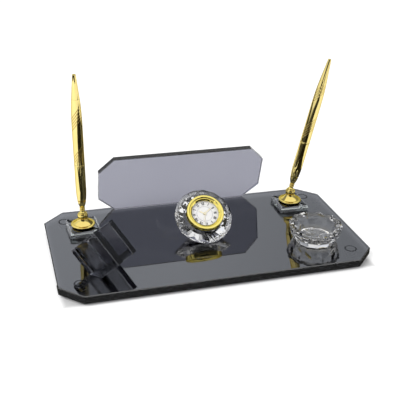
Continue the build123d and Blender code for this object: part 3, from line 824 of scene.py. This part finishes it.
def numeralStrokes(text, p):
    # letters stand side by side about x = 0, from y = 0 up to the height
    widths = [0.0 if letter == "I" else p["letter"] for letter in text]
    x = -(sum(widths) + p["gap"] * (len(text) - 1)) / 2
    quads = []
    for letter, wide in zip(text, widths):
        for x0, y0, x1, y1, kind in letterStrokes[letter]:
            high = p["height"]
            quads.append(strokeQuad(x + x0 * wide, y0 * high, x + x1 * wide, y1 * high, p[kind]))
        x += wide + p["gap"]
    return np.array(quads)


def buildDialPrint(p, place):
    quads = []
    for hour, text in enumerate(p["numerals"]):
        strokes = numeralStrokes(text, p) + [0, p["radius"] - p["height"] / 2]
        angle = -hour * math.pi / 6
        turn = np.array([[math.cos(angle), -math.sin(angle)], [math.sin(angle), math.cos(angle)]])
        quads.append(strokes @ turn.T)
    flat = np.concatenate(quads).reshape(-1, 2)
    count = len(flat)
    low, high = p["lift"]
    points = stackOutlines([(flat, low), (flat, high)])
    index = np.arange(count).reshape(-1, 4)
    sides = np.stack(
        [index, np.roll(index, -1, 1), np.roll(index, -1, 1) + count, index + count], axis=2,
    ).reshape(-1, 4)
    faces = (index + count).tolist() + index[:, ::-1].tolist() + sides.tolist()
    piece = makePiece("dialNumerals", points, faces, place, "clock_insert", [])
    outer = p["ring"] + p["ringWidth"]
    outline = [(p["ring"], low), (outer, low), (outer, high), (p["ring"], high)]
    ring = turnedPiece(
        "dialRing", outline, place, "clock_insert", [], segments=128, closed=True,
    )
    return piece, ring


faceCentre = jointNamed["minute_turn"]["pos_m"]
facePlane = planeAt(faceCentre, jointNamed["clock_out"]["axis"], (1, 0, 0))
dress(buildCrystal(clock), clearCrystal)
dress(buildBezel(clock, facePlane), bezelGold)
dress(buildLens(clock, facePlane), clearPane)
for piece, ink in zip(buildDialPrint(dialPrint, facePlane), (inkBlack, inkGrey)):
    dress(piece, ink)
print("clock ready")

# Dish

dish = {
    "x": 103.5, "y": -33.5, "sides": 12, "radius": 26.5, "foot": 19.7, "height": 17.2, "waist": 24.6,
    "waistHeight": 8.0, "hollow": 20.2, "floorRadius": 13.0, "floor": 5.0, "draft": 2.4, "bevel": 1.2,
    "ledge": 0.3, "scallop": 0.9, "dipShare": [1.0, 0.85], "panelBlend": 0.35, "rimSteps": 8,
    "star": 12.5, "starLift": 0.45, "starCorner": 0.05,
}


def buildDish(p):
    n = p["sides"]
    half = math.pi / n
    height, floor, hollow = p["height"], p["floor"], p["hollow"]
    apothem = math.cos(half)
    lowSlope = (p["waist"] - p["foot"]) / p["waistHeight"]
    highSlope = (p["radius"] - p["waist"]) / (height - p["waistHeight"])
    highStart = p["waist"] - highSlope * p["waistHeight"]
    # where the two rows of cuts meet, at the middle of a lower cut and at its corner
    zMiddle = (highStart - p["foot"] * apothem) / (lowSlope * apothem - highSlope)
    zCorner = (highStart * apothem - p["foot"]) / (lowSlope - highSlope * apothem)
    rMiddle = highStart + highSlope * zMiddle
    rCorner = p["foot"] + lowSlope * zCorner
    step = 2 * half
    middle = np.arange(n) * step
    corner = (np.arange(n) + 0.5) * step
    perSide = p["rimSteps"]
    fine = n * perSide
    u = np.arange(fine) / perSide * step
    fromMiddle = np.abs(((u / step) % 1) - 0.5) * 2
    dip = p["scallop"] * (1 - fromMiddle)
    # a flat panel is as far out as its corner radius times cos(half) over cos of the angle from its middle
    panel = apothem / np.cos((u % step) - half)
    deep = height - floor
    # the hollow is an arc through three points of its section, twelve-sided above and round at its floor
    arc = arcThrough(
        (hollow, height), (hollow - p["draft"], floor + deep / 3), (p["floorRadius"], floor), 24,
    )
    arc = arc[arc[:, 1] < height - p["bevel"] - p["scallop"]]
    inside = np.vstack([
        [(hollow + 2 * p["bevel"], height), (hollow + p["ledge"], height - p["bevel"])],
        arc,
    ])
    dipShare = np.array(p["dipShare"] + [0.0] * len(arc))
    panelShare = np.clip((inside[:, 1] - floor) / (deep * p["panelBlend"]), 0, 1)[:, None]
    outward = inside[:, :1] * (1 + panelShare * (panel - 1))
    bowl = np.stack([
        outward * np.cos(u), outward * np.sin(u), inside[:, 1:] - dipShare[:, None] * dip,
    ], axis=2).reshape(-1, 3)
    # the rim runs straight from each corner down to the middle of a side and up again
    rimOut = (p["radius"] - highSlope * dip) * panel
    rim = np.column_stack([arcAt(rimOut, u), height - dip])
    # the foot, the corners and middles where the cuts meet, and the star's middles and corners
    rings = [
        (p["foot"], corner, 0), (rCorner, corner, zCorner), (rMiddle, middle, zMiddle),
        (p["star"], middle, p["starLift"]), (p["star"], corner, p["starCorner"]),
    ]
    points = np.vstack([
        stackOutlines([(arcAt(radius, angles), z) for radius, angles, z in rings]), rim, bowl,
        [(0, 0, p["starLift"] / 2), (0, 0, floor)],
    ])
    f, lb, hb, sm, sc = (np.arange(n) + i * n for i in range(5))
    rm = 5 * n + np.arange(fine)
    starHub, hub = len(points) - 2, len(points) - 1
    faces = []
    for i in range(n):
        j = (i + 1) % n
        edge = rm[np.arange(i * perSide, (i + 1) * perSide + 1) % fine][::-1]
        faces.append([int(f[i - 1]), int(f[i]), int(lb[i]), int(hb[i]), int(lb[i - 1])])
        faces.append([int(lb[i]), int(hb[j])] + edge.tolist() + [int(hb[i])])
    nextMiddle, starHubs = np.roll(sm, -1), np.full(n, starHub)
    index = 5 * n + np.arange((len(inside) + 1) * fine).reshape(-1, fine)
    faces += bandFaces(index)
    triangles = (
        (sm, f, np.roll(f, 1)), (sc, f, sm), (sc, nextMiddle, f), (sc, sm, starHubs),
        (nextMiddle, sc, starHubs), (index[-1], np.roll(index[-1], -1), np.full(fine, hub)),
    )
    for triangle in triangles:
        faces += np.stack(triangle, axis=1).tolist()
    place = (upright, np.array([p["x"], p["y"], baseTop + seam]) * mm)
    return makePiece("dishCrystal", points, faces, place, "desk_set", ["dish"], crease=9)


dress(buildDish(dish), clearCrystal)
print("dish ready")

# Stage, light and camera

studio = {
    # metres, and the reach along X and Y of the painted shadow under the plate
    "floorSize": 12.0, "floorTint": "#DADADA", "shade": {"X": 0.150, "Y": 0.082},
    "glow": {"From Min": 1.0, "From Max": 3.0, "To Min": 0.4, "To Max": 0.62}, "wall": 1.0, "ambient": 0.55,
    # the wall's tint and strength by the height of the ray's direction
    "mirroredWall": [
        (0.28, "#FFFFFF", 1.0), (0.36, "#F0F5FF", 0.78), (0.44, "#F0F5FF", 0.8), (0.54, "#F0F5FF", 1.0),
        (0.66, "#FFFFFF", 1.0),
    ],
    "side": {"From Min": 0.22, "From Max": 0.8, "To Min": 1.0, "To Max": 0.35},
    "ceiling": {"From Min": 0.56, "From Max": 0.66},
    "room": {"From Min": 0.06, "From Max": 0.09, "To Min": 0.06},
    "roomRight": {"From Min": 0.1, "From Max": 0.3},
    # place, size in metres and watts of each soft box, and what they point at
    "lamps": {
        "keySoftbox": [(-0.9, -0.5, 1.1), (0.8, 0.8), 13.5],
        "fillSoftbox": [(1.1, -0.6, 0.8), (0.7, 0.7), 4.0],
        "backSoftbox": [(0.3, 1.2, 1.0), (1.4, 0.6), 6.0],
    },
    "lampTarget": (0, 0, 0.03),
    # Dark cards that only what is mirrored shows, in millimetres: the desk before the set, a low
    # board standing on it, the far floor, a strip behind the set and the unlit studio over the
    # camera. Only that last one is also seen by light that comes back out of cut glass.
    "cardTint": "#2A2820",
    "cards": {
        "darkDesk": [
            (-185, -84, 0.3), (-185, -170, 0.3), (-130, -260, 0.3), (30, -330, 0.3), (235, -330, 0.3),
            (230, -10, 0.3), (200, 85, 0.3), (-150, 85, 0.3), (-150, -42, 0.3), (-245, -46, 0.3),
            (-245, -84, 0.3),
        ],
        "darkFront": [
            (-135, -130, 0.5), (205, -130, 0.5), (200, -130, 10), (158, -130, 64), (150, -130, 78),
            (60, -130, 78), (-20, -130, 50), (-60, -130, 30), (-135, -130, 30),
        ],
        "darkRoom": [
            (-1050, 5900, 0.3), (-5900, 5900, 0.3), (-5900, -5900, 0.3), (300, -5900, 0.3),
            (380, -870, 0.3), (0, -870, 0.3), (-60, -980, 0.3), (-1050, -980, 0.3),
        ],
        "darkStrip": [(-20, 86, 0.3), (200, 86, 0.3), (270, 270, 0.3), (150, 270, 0.3)],
        "darkStudio": [(-1300, -950, 350), (420, -950, 350), (420, -950, 950), (-1300, -950, 950)],
    },
    "throughGlass": ["darkStudio"],
}


def addFlat(name, corners, material):
    # one flat face of the stage
    mesh = bpy.data.meshes.new(name)
    mesh.from_pydata(np.array(corners, float).tolist(), [], [list(range(len(corners)))])
    mesh.materials.append(material)
    flat = newObject(name, mesh)
    return flat


def buildFloor(p):
    # matt white paper, rolled out wide: a diffuse white with a glow that only the camera, mirrors and
    # glass see
    material, add = newMaterial("whiteSweepPaper")
    rays = add("LightPath").outputs
    seen = rays["Is Camera Ray"]
    for ray in ("Is Glossy Ray", "Is Transmission Ray"):
        seen = add("Math", {0: seen, 1: rays[ray]}, operation="MAXIMUM")
    # painted shadow: no glow under the plate, in a soft box as large as the plate
    spot = add("TexCoord").outputs["Object"]
    split = add("SeparateXYZ", {"Vector": spot}).outputs
    masks = []
    for axis, reach in p["shade"].items():
        size = add("Math", {0: split[axis]}, operation="ABSOLUTE")
        limits = {"From Min": reach - 0.006, "From Max": reach + 0.001}
        masks.append(add("MapRange", {"Value": size, **limits}, interpolation_type="SMOOTHSTEP"))
    outside = add("Math", {0: masks[0], 1: masks[1]}, operation="MAXIMUM")
    glow = add("Math", {0: seen, 1: outside}, operation="MULTIPLY")
    # far from the lamps the paper glows more, so that it stays white up to the horizon
    away = add("VectorMath", {0: spot}, operation="LENGTH")
    power = add("MapRange", {**p["glow"], "Value": away})
    strength = add("Math", {0: glow, 1: power}, operation="MULTIPLY")
    paper = add("BsdfDiffuse", {"Color": p["floorTint"]})
    shine = add("Emission", {"Color": (1, 1, 1, 1), "Strength": strength})
    both = add("AddShader", {0: paper, 1: shine})
    add("OutputMaterial", {"Surface": both})
    half = p["floorSize"] / 2
    addFlat("floor", [(-half, -half, 0), (half, -half, 0), (half, half, 0), (-half, half, 0)], material)


def buildCards(p):
    material, add = newMaterial("blackStudioCard")
    paint = add("BsdfDiffuse", {"Color": p["cardTint"]})
    add("OutputMaterial", {"Surface": paint})
    for name, outline in p["cards"].items():
        card = addFlat(name, np.array(outline) * mm, material)
        card.visible_camera = False
        card.visible_diffuse = False
        card.visible_shadow = False
        card.visible_transmission = name in p["throughGlass"]


def buildWorld(p):
    world = bpy.data.worlds.new("studioWorld")
    scene.world = world
    world.use_nodes = True
    add = nodeAdder(world.node_tree)
    rays = add("LightPath").outputs
    seen = add("Math", {0: rays["Is Glossy Ray"], 1: rays["Is Transmission Ray"]}, operation="MAXIMUM")
    # What the set mirrors is a dark room up to just over the horizon, but for its right side, and a
    # white wall with a duller, cooler band above it. Through glass, the wall shows alone.
    towards = add("TexCoord").outputs["Generated"]
    split = add("SeparateXYZ", {"Vector": towards}).outputs
    wall = add("ValToRGB", {"Fac": split["Z"]})
    steps = wall.color_ramp.elements
    for height, tint, strength in p["mirroredWall"]:
        step = steps.new(height)
        step.color = [c * strength for c in linearColour(tint)]
    steps.remove(steps[0])
    steps.remove(steps[-1])
    room = add("MapRange", {**p["room"], "Value": split["Z"]})
    toRight = add("MapRange", {**p["roomRight"], "Value": split["X"]})
    for other in (toRight, rays["Is Transmission Ray"]):
        room = add("Math", {0: room, 1: other}, operation="MAXIMUM")
    first = add(
        "Mix", {"Factor": rays["Is Camera Ray"], "A": p["ambient"], "B": p["wall"]}, data_type="FLOAT",
    )
    second = add("Mix", {"Factor": seen, "A": first, "B": room}, data_type="FLOAT")
    # its right side stands farther from the lamps, up to where the ceiling starts
    side = add("MapRange", {**p["side"], "Value": split["X"]})
    ceiling = add("MapRange", {**p["ceiling"], "Value": split["Z"]})
    side = add("Math", {0: side, 1: ceiling}, operation="MAXIMUM")
    wall = add("VectorMath", {0: wall, "Scale": side}, operation="SCALE")
    white = (1, 1, 1, 1)
    tint = add("Mix", {"Factor": seen, "A": white, "B": wall}, data_type="RGBA")
    background = add("Background", {"Color": tint, "Strength": second})
    add("OutputWorld", {"Surface": background})


def buildLamps(p):
    for name, (place, size, power) in p["lamps"].items():
        data = bpy.data.lights.new(name, "AREA")
        data.shape = "RECTANGLE"
        data.size, data.size_y = size
        data.energy = power
        lamp = newObject(name, data)
        lamp.location = place
        towards = Vector(p["lampTarget"]) - Vector(place)
        lamp.rotation_euler = towards.to_track_quat("-Z", "Y").to_euler()
        lamp.visible_glossy = False  # what the set mirrors and shows through is the even wall
        lamp.visible_transmission = False


view = {
    "focal": 744.0, "frame": 420.0, "pitch": 26.51, "yaw": 17.4, "roll": 1.8,
    "place": (-0.1890, -0.6195, 0.3612),
}


def buildCamera(p):
    pitch, yaw, roll = (math.radians(p[k]) for k in ("pitch", "yaw", "roll"))
    forward = Vector((math.sin(yaw) * math.cos(pitch), math.cos(yaw) * math.cos(pitch), -math.sin(pitch)))
    level = Vector((math.cos(yaw), -math.sin(yaw), 0))
    above = level.cross(forward)
    right = level * math.cos(roll) + above * math.sin(roll)
    up = above * math.cos(roll) - level * math.sin(roll)
    data = bpy.data.cameras.new("photoCamera")
    data.sensor_fit = "HORIZONTAL"
    data.sensor_width = 36.0
    data.lens = p["focal"] / p["frame"] * 36.0
    data.clip_start = 0.01
    camera = newObject("photoCamera", data)
    turn = Matrix((right, up, -forward)).transposed().to_4x4()
    camera.matrix_world = Matrix.Translation(p["place"]) @ turn
    scene.camera = camera


buildFloor(studio)
buildCards(studio)
buildWorld(studio)
buildLamps(studio)
buildCamera(view)
scene.view_settings.view_transform = "Standard"
print("stage ready")
